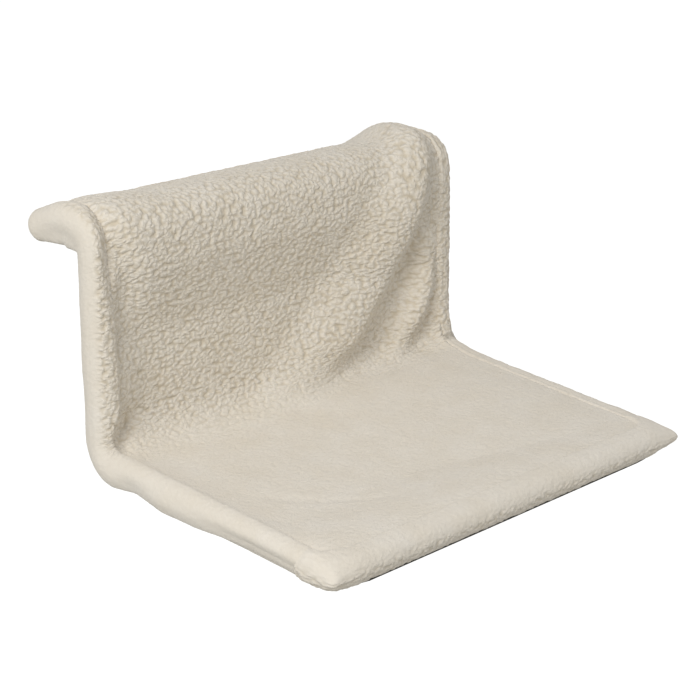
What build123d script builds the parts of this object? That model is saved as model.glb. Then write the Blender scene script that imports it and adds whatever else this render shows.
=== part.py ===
"""Radiator cat hammock: a bolted steel tube frame inside a sewn pile cover.

Millimetres. X runs along the radiator, Y points back towards the wall and Z points up.
The origin is at mid-width, in the inner corner of the hooks, where the radiator's top front edge sits.
"""
from build123d import *
from math import cos, degrees, pi, radians, sin, tan
import os

os.makedirs("parts", exist_ok=True)

# Driving sizes of the whole hammock
overall_width = 460
seat_depth = 262
back_height = 218
hook_reach = 73
seat_pitch = radians(7.2)
hook_slope = radians(21)

# Steel tubes of the frame
tube_diameter = 12
tube_wall = 1.2
top_bend_radius = 32
crease_bend_radius = 24
hoop_corner_radius = 22
rail_stub_length = 70
swage_length = 34
swage_wall = 1
plug_clearance = 0.1
cross_tube_diameter = 10
cope_setback = 3

# Bolts of the cross tube, with their inserts and saddle washers
bolt_diameter = 5
bolt_clearance = 0.2
bolt_head_diameter = 9.5
bolt_head_height = 2.7
bolt_head_rounding = 1.4
bolt_socket_diameter = 3.4
bolt_socket_depth = 1.6
insert_length = 16
insert_set_in = 12
thread_engagement = 12
saddle_diameter = 11
saddle_height = 3

# Lock bolts and cap nuts of the plug joints
lock_bolt_diameter = 4
lock_head_diameter = 7.6
lock_head_height = 2.2
lock_head_rounding = 1.1
lock_nut_diameter = 7
lock_nut_height = 4
lock_nut_rim = 1.6
lock_nut_chamfer = 0.8

# Rubber caps of the hook arms
cap_wall = 1.5
cap_end = 2
cap_length = 18
cap_rounding = 1.5

# Cloth of the cover
pile_thickness = 7.7
panel_thickness = 8
panel_set_back = 6
panel_crease_radius = 50
panel_shoulder_radius = 60
panel_shoulder_start = 10
panel_shoulder_drop = 58
lining_thickness = 0.8
tape_thickness = 0.7
tape_height = 20
tape_margin = 2
tape_side_margin = 10
closure_height = 46
cloth_gap = 0.3
wing_thickness = 16
wing_end_rounding = 5
sewn_point_rounding = 5
band_rounding = 3
overrun = 1

# Main folds of the panel: how far each rises to its crest, falls beyond it and stands out
ridge_fold_rise = 100
ridge_fold_fall = 44
ridge_fold_height = 15
side_fold_rise = 50
side_fold_fall = 20
side_fold_height = 12
valley_half_width = 17
valley_depth = 4

# Stations down each fold: place of the crest as a share of the panel's half width, distance below
# the top fold as a share of the back's height, then shares of the rise, the fall and the height
ridge_fold_shares = [
    (0.79, -0.20, 0.60, 0.91, 0.0),
    (0.81, -0.07, 0.60, 0.95, 0.53),
    (0.82, 0.05, 0.60, 1.0, 0.73),
    (0.82, 0.18, 0.62, 1.0, 0.77),
    (0.80, 0.30, 0.70, 0.95, 0.80),
    (0.72, 0.44, 0.80, 0.95, 0.87),
    (0.645, 0.58, 0.90, 0.91, 1.0),
    (0.57, 0.72, 1.0, 0.86, 1.0),
    (0.50, 0.84, 1.05, 0.86, 0.87),
    (0.395, 0.96, 1.05, 0.91, 0.53),
    (0.265, 1.08, 1.0, 1.0, 0.20),
    (0.19, 1.19, 0.95, 1.1, 0.0),
]
side_fold_shares = [
    (0.97, 0.25, 0.70, 0.80, 0.0),
    (0.96, 0.42, 0.80, 0.90, 0.60),
    (0.94, 0.58, 0.90, 1.0, 0.95),
    (0.915, 0.72, 1.0, 1.0, 1.0),
    (0.87, 0.84, 1.0, 1.1, 0.95),
    (0.80, 0.96, 1.0, 1.2, 0.60),
    (0.72, 1.10, 1.0, 1.2, 0.0),
]
left_valley_shares = [
    (-0.94, 0.12, 0.80, 0.80, 0.0),
    (-0.93, 0.28, 0.90, 0.90, 0.9),
    (-0.92, 0.45, 1.0, 1.0, 1.0),
    (-0.90, 0.62, 1.0, 1.0, 0.7),
    (-0.88, 0.78, 1.0, 1.0, 0.0),
]

# Where the panel's pile side is drawn: shares of its half width across and of its length down
across_shares = [
    -1, -0.955, -0.91, -0.86, -0.77, -0.6, -0.35, -0.1, 0.08, 0.2, 0.31,
    0.41, 0.51, 0.6, 0.68, 0.76, 0.83, 0.89, 0.945, 1,
]
run_shares = [
    0, 0.03, 0.06, 0.09, 0.12, 0.15, 0.18, 0.21, 0.245, 0.28, 0.32, 0.36,
    0.4, 0.44, 0.475, 0.51, 0.54, 0.57, 0.6, 0.64, 0.7, 0.78, 0.88, 1,
]

# Sizes that follow from those above
tube_radius = tube_diameter / 2
tube_bore = tube_radius - tube_wall
cross_radius = cross_tube_diameter / 2
cross_bore = cross_radius - tube_wall
swage_radius = tube_bore - plug_clearance
swage_bore = swage_radius - swage_wall
sleeve_bore = tube_radius + cloth_gap
sleeve_radius = sleeve_bore + pile_thickness
sleeve_envelope = sleeve_radius + cloth_gap
half_width = overall_width / 2 - sleeve_radius
panel_half_thickness = panel_thickness / 2
panel_half_width = half_width - wing_thickness / 2 - cloth_gap

# Corners of the line down the middle of a side tube, each as (Y, Z)
tube_y = -sleeve_radius
top_corner = Vector(tube_y, hook_reach * sin(hook_slope) + sleeve_radius * cos(hook_slope))
crease_corner = top_corner - Vector(0, back_height)
hook_direction = Vector(cos(hook_slope), -sin(hook_slope))
hook_normal = Vector(sin(hook_slope), cos(hook_slope))
seat_direction = Vector(-cos(seat_pitch), -sin(seat_pitch))
seat_normal = Vector(-sin(seat_pitch), cos(seat_pitch))
hook_tip = top_corner + hook_direction * hook_reach
stub_end = crease_corner + seat_direction * rail_stub_length
rail_end = crease_corner + seat_direction * (seat_depth - hoop_corner_radius)

# The highest point of that line, where the cross tube is bolted
top_turn = radians(90) + hook_slope
bend_start_z = top_corner.Y - top_bend_radius * tan(top_turn / 2)
apex = Vector(tube_y + top_bend_radius, bend_start_z + top_bend_radius)
lock_place = crease_corner + seat_direction * (rail_stub_length - swage_length / 2)

# How far each fastener stands out from the middle of its tube
saddle_seat = tube_radius - saddle_height / 2
bolt_head_base = saddle_seat + saddle_height
bolt_head_top = bolt_head_base + bolt_head_height
lock_head_top = tube_radius + lock_head_height
lock_nut_top = tube_radius + lock_nut_height


def side_plane(x):
    """The upright plane at x, with the sketch's X along Y and the sketch's Y along Z."""
    return Plane(origin=(x, 0, 0), x_dir=(0, 1, 0), z_dir=(1, 0, 0))


def facing(x, point, direction):
    """The plane at x and a point of the side line, square to a direction of that line."""
    return Plane(
        origin=(x, point.X, point.Y), x_dir=(1, 0, 0), z_dir=(0, direction.X, direction.Y)
    )


def hook_point(distance, height):
    """A point of the side line: distance along the hook arm and height above its middle."""
    return top_corner + hook_direction * distance + hook_normal * height


def seat_point(distance, height):
    """A point of the side line: distance along the seat rail and height above its middle."""
    return crease_corner + seat_direction * distance + seat_normal * height


def top_offset_corner(height):
    """The top corner of a line that runs at a height outside the side tube's middle."""
    return top_corner + Vector(-height, height * (1 + sin(hook_slope)) / cos(hook_slope))


def crease_offset_corner(depth):
    """The crease corner of a line that runs at a depth behind and under the side tube's middle."""
    return crease_corner + Vector(depth, -depth * (1 - sin(seat_pitch)) / cos(seat_pitch))


def rod(point, radius, start, end, mode=Mode.ADD):
    """A round bar along X at a point of the side line, from x = start to x = end."""
    with Locations(side_plane(start) * Pos(point.X, point.Y)):
        Cylinder(radius, end - start, align=(Align.CENTER, Align.CENTER, Align.MIN), mode=mode)


def side_line(x, first, last):
    """The middle line of the side tube at x, between a point of the hook and one of the seat."""
    with BuildLine(side_plane(x)) as line:
        FilletPolyline(
            (first.X, first.Y),
            (top_corner.X, top_corner.Y),
            (crease_corner.X, crease_corner.Y),
            (last.X, last.Y),
            radius=[top_bend_radius, crease_bend_radius],
        )
    return line.wire()


def front_line():
    """The middle line of the seat hoop from one rail end round the front bar to the other."""
    with BuildLine(seat_plane) as line:
        FilletPolyline(
            (-half_width, hoop_corner_radius - seat_depth),
            (-half_width, -seat_depth),
            (half_width, -seat_depth),
            (half_width, hoop_corner_radius - seat_depth),
            radius=hoop_corner_radius - cloth_gap,
        )
    return line.wire()


def round_section(line, radius):
    """A disc at the start of a line, square to it."""
    with BuildSketch(Plane(origin=line @ 0, z_dir=line % 0)) as section:
        Circle(radius)
    return section.sketch


seat_plane = Plane(
    origin=(0, crease_corner.X, crease_corner.Y),
    x_dir=(1, 0, 0),
    z_dir=(0, seat_normal.X, seat_normal.Y),
)
tube_middle = side_line(half_width, hook_tip, stub_end)
cloth_end = cap_end + cloth_gap
sleeve_start = hook_tip + hook_direction * (cloth_end + pile_thickness)
sleeve_middle = side_line(half_width, sleeve_start, rail_end)
bore_middle = side_line(half_width, hook_tip + hook_direction * cloth_end, rail_end)
front_middle = front_line()


# Side tubes: hook arm, top bend, upright, crease bend and the start of the seat rail
with BuildPart() as right_side_tube:
    sweep(round_section(tube_middle, tube_radius), path=tube_middle)
    sweep(round_section(tube_middle, tube_bore), path=tube_middle, mode=Mode.SUBTRACT)
    drill_start = half_width - tube_diameter
    drill_end = half_width + tube_diameter
    rod(apex, bolt_diameter / 2 + bolt_clearance, drill_start, drill_end, Mode.SUBTRACT)
    rod(lock_place, lock_bolt_diameter / 2 + bolt_clearance, drill_start, drill_end, Mode.SUBTRACT)
right_side_tube.part.label = "right_side_tube"
export_step(right_side_tube.part, "parts/right_side_tube.step")

with BuildPart() as left_side_tube:
    mirror(right_side_tube.part, about=Plane.YZ)
left_side_tube.part.label = "left_side_tube"
export_step(left_side_tube.part, "parts/left_side_tube.step")


# Seat hoop: two rails and the front bar in one bent tube, with reduced ends that plug into the side tubes
with BuildPart() as seat_hoop:
    with BuildLine(seat_plane) as hoop_line:
        FilletPolyline(
            (-half_width, -rail_stub_length),
            (-half_width, -seat_depth),
            (half_width, -seat_depth),
            (half_width, -rail_stub_length),
            radius=hoop_corner_radius,
        )
    with BuildSketch(Plane(origin=hoop_line.line @ 0, z_dir=hoop_line.line % 0)):
        Circle(tube_radius)
        Circle(tube_bore, mode=Mode.SUBTRACT)
    sweep()
    for x in (-half_width, half_width):
        with BuildSketch(facing(x, stub_end, -seat_direction)):
            Circle(swage_radius)
            Circle(swage_bore, mode=Mode.SUBTRACT)
        extrude(amount=swage_length)
        with BuildSketch(facing(x, stub_end, seat_direction)):
            Circle(tube_radius)
            Circle(swage_bore, mode=Mode.SUBTRACT)
        extrude(amount=tube_wall)
        rod(
            lock_place,
            lock_bolt_diameter / 2 + bolt_clearance,
            x - tube_radius,
            x + tube_radius,
            Mode.SUBTRACT,
        )
seat_hoop.part.label = "seat_hoop"
export_step(seat_hoop.part, "parts/seat_hoop.step")


# Top cross tube, with ends coped to the round of the side tubes at the top of their bends
with BuildPart() as top_cross_tube:
    rod(apex, cross_radius, 0, half_width - cope_setback)
    rod(apex, cross_bore, 0, half_width, Mode.SUBTRACT)
    sweep(
        round_section(tube_middle, tube_radius + plug_clearance),
        path=tube_middle,
        mode=Mode.SUBTRACT,
    )
    mirror(about=Plane.YZ)
top_cross_tube.part.label = "top_cross_tube"
export_step(top_cross_tube.part, "parts/top_cross_tube.step")


# Threaded inserts pressed into the ends of the cross tube
insert_outer_end = half_width - insert_set_in
with BuildPart() as cross_tube_inserts:
    insert_inner_end = insert_outer_end - insert_length
    rod(apex, cross_bore - plug_clearance, insert_inner_end, insert_outer_end)
    rod(apex, bolt_diameter / 2, insert_inner_end, insert_outer_end, Mode.SUBTRACT)
    mirror(about=Plane.YZ)
cross_tube_inserts.part.label = "cross_tube_inserts"
export_step(cross_tube_inserts.part, "parts/cross_tube_inserts.step")


# Saddle washers, hollowed to sit on the round of the side tubes
with BuildPart() as saddle_washers:
    washer_inner = half_width + saddle_seat
    washer_outer = half_width + bolt_head_base
    rod(apex, saddle_diameter / 2, washer_inner, washer_outer)
    rod(apex, bolt_diameter / 2 + bolt_clearance, washer_inner, washer_outer, Mode.SUBTRACT)
    sweep(round_section(tube_middle, tube_radius), path=tube_middle, mode=Mode.SUBTRACT)
    mirror(about=Plane.YZ)
saddle_washers.part.label = "saddle_washers"
export_step(saddle_washers.part, "parts/saddle_washers.step")


# Cross tube bolts: button heads outside, shanks through the side tubes into the inserts
with BuildPart() as cross_tube_bolts:
    head_base = half_width + bolt_head_base
    head_top = half_width + bolt_head_top
    rod(apex, bolt_head_diameter / 2, head_base, head_top)
    fillet(edges().filter_by(GeomType.CIRCLE).sort_by(Axis.X)[-1], bolt_head_rounding)
    rod(apex, bolt_diameter / 2 - plug_clearance, insert_outer_end - thread_engagement, head_base)
    rod(apex, bolt_socket_diameter / 2, head_top - bolt_socket_depth, head_top, Mode.SUBTRACT)
    mirror(about=Plane.YZ)
cross_tube_bolts.part.label = "cross_tube_bolts"
export_step(cross_tube_bolts.part, "parts/cross_tube_bolts.step")


# Lock bolts through the plug joints, with their heads outside
with BuildPart() as hoop_lock_bolts:
    head_base = half_width + tube_radius
    rod(lock_place, lock_head_diameter / 2, head_base, half_width + lock_head_top)
    fillet(edges().filter_by(GeomType.CIRCLE).sort_by(Axis.X)[-1], lock_head_rounding)
    shank_end = half_width - lock_nut_top + lock_nut_rim
    rod(lock_place, lock_bolt_diameter / 2, shank_end, head_base)
    mirror(about=Plane.YZ)
hoop_lock_bolts.part.label = "hoop_lock_bolts"
export_step(hoop_lock_bolts.part, "parts/hoop_lock_bolts.step")


# Cap nuts on the lock bolts, closed at their inner ends
with BuildPart() as hoop_cap_nuts:
    nut_base = half_width - tube_radius
    with BuildSketch(side_plane(nut_base)):
        with Locations((lock_place.X, lock_place.Y)):
            RegularPolygon(lock_nut_diameter / 2, side_count=6)
    extrude(amount=-lock_nut_height)
    chamfer(faces().sort_by(Axis.X)[0].edges(), lock_nut_chamfer)
    thread_end = half_width - lock_nut_top + lock_nut_rim
    rod(lock_place, lock_bolt_diameter / 2 + plug_clearance, thread_end, nut_base, Mode.SUBTRACT)
    mirror(about=Plane.YZ)
hoop_cap_nuts.part.label = "hoop_cap_nuts"
export_step(hoop_cap_nuts.part, "parts/hoop_cap_nuts.step")


# Hook caps: rubber ferrules over the open ends of the hook arms
cap_mouth = hook_tip - hook_direction * (cap_length - cap_end)
with BuildPart() as right_hook_cap:
    with BuildSketch(facing(half_width, cap_mouth, hook_direction)):
        Circle(tube_radius + cap_wall)
    extrude(amount=cap_length)
    fillet(edges().filter_by(GeomType.CIRCLE).sort_by(Axis.Y)[-1], cap_rounding)
    with BuildSketch(facing(half_width, cap_mouth, hook_direction)):
        Circle(tube_radius)
    extrude(amount=cap_length - cap_end, mode=Mode.SUBTRACT)
right_hook_cap.part.label = "right_hook_cap"
export_step(right_hook_cap.part, "parts/right_hook_cap.step")

with BuildPart() as left_hook_cap:
    mirror(right_hook_cap.part, about=Plane.YZ)
left_hook_cap.part.label = "left_hook_cap"
export_step(left_hook_cap.part, "parts/left_hook_cap.step")


# Side sleeves: pile cloth round the side tubes, with the flat-bottomed wing under each hook arm
wing_back = sleeve_start.X
with BuildPart() as right_side_sleeve:
    sweep(round_section(sleeve_middle, sleeve_radius), path=sleeve_middle)
    end_rim = edges().filter_by(GeomType.CIRCLE).sort_by(Axis.Y)[-1]
    fillet(end_rim, wing_end_rounding)
    with BuildSketch(side_plane(half_width)):
        with BuildLine():
            wing_arc = FilletPolyline(
                (hook_tip.X, hook_tip.Y),
                (top_corner.X, top_corner.Y),
                (tube_y, bend_start_z - overrun),
                radius=top_bend_radius,
            )
            Polyline(wing_arc @ 1, (-tube_radius, 0), (hook_tip.X, 0), wing_arc @ 0)
        make_face()
    extrude(amount=wing_thickness / 2, both=True)
    with Locations((half_width, 0, 0)):
        Box(
            overall_width,
            wing_back + overrun,
            sleeve_radius + overrun,
            align=(Align.CENTER, Align.MIN, Align.MAX),
            mode=Mode.SUBTRACT,
        )
    sweep(round_section(bore_middle, sleeve_bore), path=bore_middle, mode=Mode.SUBTRACT)
    with BuildSketch(facing(half_width, cap_mouth - hook_direction * cloth_gap, hook_direction)):
        Circle(tube_radius + cap_wall + cloth_gap)
    extrude(amount=cap_length + 2 * cloth_gap, mode=Mode.SUBTRACT)
    rod(apex, cross_radius + cloth_gap, half_width - sleeve_envelope, half_width, Mode.SUBTRACT)
    rod(
        apex,
        saddle_diameter / 2 + cloth_gap,
        half_width,
        half_width + bolt_head_top + cloth_gap,
        Mode.SUBTRACT,
    )
    rod(
        lock_place,
        lock_head_diameter / 2 + cloth_gap,
        half_width - lock_nut_top - cloth_gap,
        half_width + lock_head_top + cloth_gap,
        Mode.SUBTRACT,
    )
right_side_sleeve.part.label = "right_side_sleeve"
export_step(right_side_sleeve.part, "parts/right_side_sleeve.step")

with BuildPart() as left_side_sleeve:
    mirror(right_side_sleeve.part, about=Plane.YZ)
left_side_sleeve.part.label = "left_side_sleeve"
export_step(left_side_sleeve.part, "parts/left_side_sleeve.step")


# Front sleeve: the pile roll round the front bar, sewn square at its corners with rounded points
with BuildPart() as front_sleeve:
    with BuildLine(seat_plane) as sewn_line:
        Polyline(
            (-half_width, hoop_corner_radius - seat_depth),
            (-half_width, -seat_depth),
            (half_width, -seat_depth),
            (half_width, hoop_corner_radius - seat_depth),
        )
    sewn_middle = sewn_line.wire()
    sweep(round_section(sewn_middle, sleeve_radius), path=sewn_middle, transition=Transition.RIGHT)
    for side, edge in ((-1, Align.MAX), (1, Align.MIN)):
        point_x = side * (half_width + sleeve_radius - sewn_point_rounding)
        point_y = sewn_point_rounding - seat_depth - sleeve_radius
        point_size = sewn_point_rounding + overrun
        with BuildSketch(seat_plane):
            with Locations((point_x, point_y)):
                Rectangle(point_size, point_size, align=(edge, Align.MAX))
                Circle(sewn_point_rounding, mode=Mode.SUBTRACT)
        extrude(amount=sleeve_radius, both=True, mode=Mode.SUBTRACT)
    sweep(round_section(front_middle, sleeve_radius - cloth_gap), path=front_middle)
    sweep(round_section(front_middle, sleeve_bore), path=front_middle, mode=Mode.SUBTRACT)
front_sleeve.part.label = "front_sleeve"
export_step(front_sleeve.part, "parts/front_sleeve.step")


# The line down the middle of the panel's thickness, from the rear edge over the top to the front bar
panel_over = sleeve_bore + panel_half_thickness
panel_rear = hook_point(hook_reach + cap_end, panel_over)
panel_top = top_offset_corner(panel_over)
shoulder_top = Vector(panel_top.X, bend_start_z - panel_shoulder_start)
shoulder_foot = Vector(tube_y + panel_set_back, shoulder_top.Y - panel_shoulder_drop)
panel_crease = crease_offset_corner(panel_set_back)
panel_front = seat_point(seat_depth - tube_radius, -panel_set_back)
panel_corners = [
    (corner.X, corner.Y)
    for corner in (panel_rear, panel_top, shoulder_top, shoulder_foot, panel_crease, panel_front)
]
outer_bend_radius = top_bend_radius + panel_over
panel_radii = [
    outer_bend_radius,
    panel_shoulder_radius,
    panel_shoulder_radius,
    panel_crease_radius,
]
with BuildLine(side_plane(0)) as panel_line:
    FilletPolyline(*panel_corners, radius=panel_radii)
panel_middle = panel_line.wire()

# Distance along that line from the rear edge to the top fold
rear_run = (panel_rear - panel_top).length - outer_bend_radius * tan(top_turn / 2)
ridge_run = rear_run + outer_bend_radius * hook_slope


def fold_rise(across_share, down_share):
    """How far the folds lift the pile side, or let it sink, at a place of the panel."""
    lift = 0
    for stations, fold_rise_width, fold_fall_width, fold_height in (
        (ridge_fold_shares, ridge_fold_rise, ridge_fold_fall, ridge_fold_height),
        (side_fold_shares, side_fold_rise, side_fold_fall, side_fold_height),
        (left_valley_shares, valley_half_width, valley_half_width, -valley_depth),
    ):
        for above, below in zip(stations, stations[1:]):
            if above[1] <= down_share < below[1]:
                part = (down_share - above[1]) / (below[1] - above[1])
                place, down, rise, fall, height = [a + (b - a) * part for a, b in zip(above, below)]
                beyond = (across_share - place) * panel_half_width
                flank = rise * fold_rise_width if beyond < 0 else fall * fold_fall_width
                reach = abs(beyond) / flank
                if reach < 1:
                    lift += fold_height * height * (1 + cos(pi * reach)) / 2
    return lift


def pile_points(across_share):
    """The panel's pile side in the upright plane at a share of its half width, as (Y, Z)."""
    points = []
    for run_share in run_shares:
        tangent = panel_middle % run_share
        outward = Vector(0, tangent.Z, -tangent.Y)
        down_share = (run_share * panel_middle.length - ridge_run) / back_height
        height = panel_half_thickness + fold_rise(across_share, down_share)
        point = panel_middle @ run_share + outward * height
        points.append((point.Y, point.Z))
    return points


# Sherpa panel: the lying surface in one piece, lofted across its width through its main folds
left_middle = side_line(-half_width, sleeve_start, rail_end)
with BuildPart() as sherpa_panel:
    for share in across_shares:
        with BuildSketch(side_plane(share * panel_half_width)):
            with BuildLine():
                pile_side = Spline(*pile_points(share))
                back_side = offset(
                    FilletPolyline(*panel_corners, radius=panel_radii, mode=Mode.PRIVATE),
                    amount=panel_half_thickness,
                    side=Side.LEFT,
                    closed=False,
                    mode=Mode.ADD,
                ).wire()
                Line(pile_side @ 0, back_side @ 1)
                Line(pile_side @ 1, back_side @ 0)
            make_face()
    loft()
    for middle in (sleeve_middle, left_middle, front_middle):
        sweep(round_section(middle, sleeve_envelope), path=middle, mode=Mode.SUBTRACT)
sherpa_panel.part.label = "sherpa_panel"
export_step(sherpa_panel.part, "parts/sherpa_panel.step")


# Where the lining and the closure lie: each layer against the one before it, towards the radiator
back_lining_depth = panel_set_back + panel_half_thickness + cloth_gap + lining_thickness / 2
loop_tape_depth = back_lining_depth + lining_thickness / 2 + tape_thickness / 2
hook_tape_depth = loop_tape_depth + tape_thickness
seat_lining_depth = hook_tape_depth + tape_thickness / 2 + lining_thickness / 2
closure_foot_z = crease_corner.Y + closure_height
tape_foot_z = closure_foot_z + tape_margin
flap_top_z = tape_foot_z + tape_height + tape_margin

# Back lining: thin cloth under the hook arms and down behind the panel, to the closure
lining_rear = hook_point(hook_reach + cap_end, -back_lining_depth)
lining_top = top_offset_corner(-back_lining_depth)
with BuildPart() as back_lining:
    with BuildSketch(side_plane(0)):
        with BuildLine():
            FilletPolyline(
                (lining_rear.X, lining_rear.Y),
                (lining_top.X, lining_top.Y),
                (lining_top.X, closure_foot_z),
                radius=top_bend_radius - back_lining_depth,
            )
        trace(line_width=lining_thickness)
    extrude(amount=panel_half_width, both=True)
    for middle in (sleeve_middle, left_middle):
        sweep(round_section(middle, sleeve_envelope), path=middle, mode=Mode.SUBTRACT)
back_lining.part.label = "back_lining"
export_step(back_lining.part, "parts/back_lining.step")


# Seat lining: from the closure flap round the crease and under the seat to the front sleeve
flap_crease = crease_offset_corner(seat_lining_depth)
lining_front = seat_point(seat_depth - tube_radius, -seat_lining_depth)
with BuildPart() as seat_lining:
    with BuildSketch(side_plane(0)):
        with BuildLine():
            FilletPolyline(
                (flap_crease.X, flap_top_z),
                (flap_crease.X, flap_crease.Y),
                (lining_front.X, lining_front.Y),
                radius=panel_crease_radius + seat_lining_depth - panel_set_back,
            )
        trace(line_width=lining_thickness)
    extrude(amount=panel_half_width, both=True)
    for middle in (sleeve_middle, left_middle, front_middle):
        sweep(round_section(middle, sleeve_envelope), path=middle, mode=Mode.SUBTRACT)
seat_lining.part.label = "seat_lining"
export_step(seat_lining.part, "parts/seat_lining.step")


# Touch closure: the loop tape on the back lining and the hook tape on the flap that covers it
tape_width = 2 * (half_width - sleeve_envelope - tape_side_margin)
with BuildPart() as closure_loop_tape:
    with BuildSketch(Plane.XY.offset(tape_foot_z)):
        with Locations((0, tube_y + loop_tape_depth)):
            Rectangle(tape_width, tape_thickness)
    extrude(amount=tape_height)
closure_loop_tape.part.label = "closure_loop_tape"
export_step(closure_loop_tape.part, "parts/closure_loop_tape.step")

with BuildPart() as closure_hook_tape:
    with BuildSketch(Plane.XY.offset(tape_foot_z)):
        with Locations((0, tube_y + hook_tape_depth)):
            Rectangle(tape_width, tape_thickness)
    extrude(amount=tape_height)
closure_hook_tape.part.label = "closure_hook_tape"
export_step(closure_hook_tape.part, "parts/closure_hook_tape.step")


# Rear edge band: the pile strip that closes the cover between the hook tips
band_top = panel_over + panel_half_thickness
band_foot = back_lining_depth + lining_thickness / 2
band_middle = hook_point(
    hook_reach + cloth_end + pile_thickness / 2, (band_top - band_foot) / 2
)
with BuildPart() as rear_edge_band:
    with BuildSketch(side_plane(0)):
        with Locations((band_middle.X, band_middle.Y)):
            Rectangle(pile_thickness, band_top + band_foot, rotation=-degrees(hook_slope))
        fillet(vertices(), band_rounding)
    extrude(amount=panel_half_width, both=True)
    for middle in (sleeve_middle, left_middle):
        sweep(round_section(middle, sleeve_envelope), path=middle, mode=Mode.SUBTRACT)
rear_edge_band.part.label = "rear_edge_band"
export_step(rear_edge_band.part, "parts/rear_edge_band.step")
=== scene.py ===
# %% [markdown]
# # A radiator cat hammock, dressed over its frame
# The hammock is a bed that hangs from the top of a radiator. A bent steel tube frame carries a
# sewn cover of cream curly-pile cloth, and almost nothing of the frame shows. So this scene is a
# lesson in cloth: how a soft cover follows a hard frame, and how pile gets its clumps.
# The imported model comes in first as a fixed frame, and every piece is built where it says.

# %% Load the frame
import math

import bmesh
import bpy
import numpy as np
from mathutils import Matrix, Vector


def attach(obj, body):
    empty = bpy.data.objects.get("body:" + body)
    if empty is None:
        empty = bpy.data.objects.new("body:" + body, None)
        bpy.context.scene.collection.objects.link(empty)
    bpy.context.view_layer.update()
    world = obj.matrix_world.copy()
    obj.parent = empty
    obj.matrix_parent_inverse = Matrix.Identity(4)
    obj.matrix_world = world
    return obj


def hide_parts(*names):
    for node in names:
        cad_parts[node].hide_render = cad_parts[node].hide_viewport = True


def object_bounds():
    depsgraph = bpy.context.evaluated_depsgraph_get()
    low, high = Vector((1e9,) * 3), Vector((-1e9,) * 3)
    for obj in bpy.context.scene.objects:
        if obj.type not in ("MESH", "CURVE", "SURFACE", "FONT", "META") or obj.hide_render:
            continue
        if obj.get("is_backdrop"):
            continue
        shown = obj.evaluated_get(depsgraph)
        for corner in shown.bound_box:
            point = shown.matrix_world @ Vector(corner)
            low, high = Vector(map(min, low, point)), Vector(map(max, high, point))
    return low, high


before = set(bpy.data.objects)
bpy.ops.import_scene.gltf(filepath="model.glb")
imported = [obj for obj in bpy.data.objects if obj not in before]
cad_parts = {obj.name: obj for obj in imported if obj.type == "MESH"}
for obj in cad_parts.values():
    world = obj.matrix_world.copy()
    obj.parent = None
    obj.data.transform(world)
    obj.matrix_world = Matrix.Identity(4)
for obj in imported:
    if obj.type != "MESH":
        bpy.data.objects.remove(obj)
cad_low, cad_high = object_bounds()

mm = 0.001
print("the frame has", len(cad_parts), "nodes and measures", [round(v, 4) for v in cad_high - cad_low])

# %% [markdown]
# The photograph fixes the camera: it stands to the left of the hammock and a little above it, far
# back with a long lens, so the lines of the seat stay almost parallel.

# %% Camera
view_target = Vector((0, -0.134, -0.0808))
view_azimuth = math.radians(-48.7)
view_elevation = math.radians(15.8)
view_distance = 1.854
focal_length = 110.3
frame_shift = (-0.0443, -0.0414)


def add_object(name, data):
    """A new object of the scene, at the origin."""
    made = bpy.data.objects.new(name, data)
    bpy.context.scene.collection.objects.link(made)
    return made


camera_data = bpy.data.cameras.new("photograph_view")
camera_data.sensor_width = 36
camera_data.lens = focal_length
camera_data.shift_x, camera_data.shift_y = frame_shift
camera = add_object("photograph_view", camera_data)
towards_camera = Vector((
    math.sin(view_azimuth) * math.cos(view_elevation),
    -math.cos(view_azimuth) * math.cos(view_elevation),
    math.sin(view_elevation),
))
camera.location = view_target + towards_camera * view_distance
camera.rotation_mode = "QUATERNION"
camera.rotation_quaternion = (-towards_camera).to_track_quat("-Z", "Y")
bpy.context.scene.camera = camera
print("camera at", [round(v, 3) for v in camera.location])

# %% [markdown]
# A small toolbox for materials. Colours are chosen as sRGB hex values, as a colour picker shows
# them, and one function turns them to the linear values that shaders want. Another adds a node:
# each of its inputs is a plain value, a socket that feeds it, or another node, which stands for
# its own first output. So a material reads as a short list of steps.

# %% Material helpers
def colour(hex_value):
    """An sRGB hex colour as linear RGBA."""
    channels = []
    for place in (1, 3, 5):
        value = int(hex_value[place:place + 2], 16) / 255
        channels.append(value / 12.92 if value <= 0.04045 else ((value + 0.055) / 1.055) ** 2.4)
    return (*channels, 1)


def connect(tree, node, inputs):
    """Sets a node's inputs: each is a value, a socket, or a node, which gives its first output."""
    for name, value in inputs.items():
        source = value.outputs[0] if isinstance(value, bpy.types.Node) else value
        if isinstance(source, bpy.types.NodeSocket):
            tree.links.new(source, node.inputs[name])
        else:
            node.inputs[name].default_value = source


def add_node(tree, kind, inputs=None, stops=(), **settings):
    """A node with its inputs, its stops if it is a colour ramp, and its settings by name."""
    node = tree.nodes.new(kind)
    for name, value in settings.items():
        setattr(node, name, value)
    connect(tree, node, inputs or {})
    for index, (position, hex_value) in enumerate(stops):
        elements = node.color_ramp.elements
        element = elements[index] if index < 2 else elements.new(position)
        element.position = position
        element.color = colour(hex_value)
    return node


def calculate(tree, operation, *values):
    """A Math node with its values in order."""
    return add_node(tree, "ShaderNodeMath", dict(enumerate(values)), operation=operation)


def new_material(name, inputs):
    """A material with only its Principled shader set, with its tree and shader for more nodes."""
    material = bpy.data.materials.new(name)
    material.use_nodes = True
    shader = material.node_tree.nodes["Principled BSDF"]
    connect(material.node_tree, shader, inputs)
    return material, material.node_tree, shader


def per_metre(size):
    """The texture scale at which one cell of a pattern measures a real size in metres."""
    return 1 / size


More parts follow.
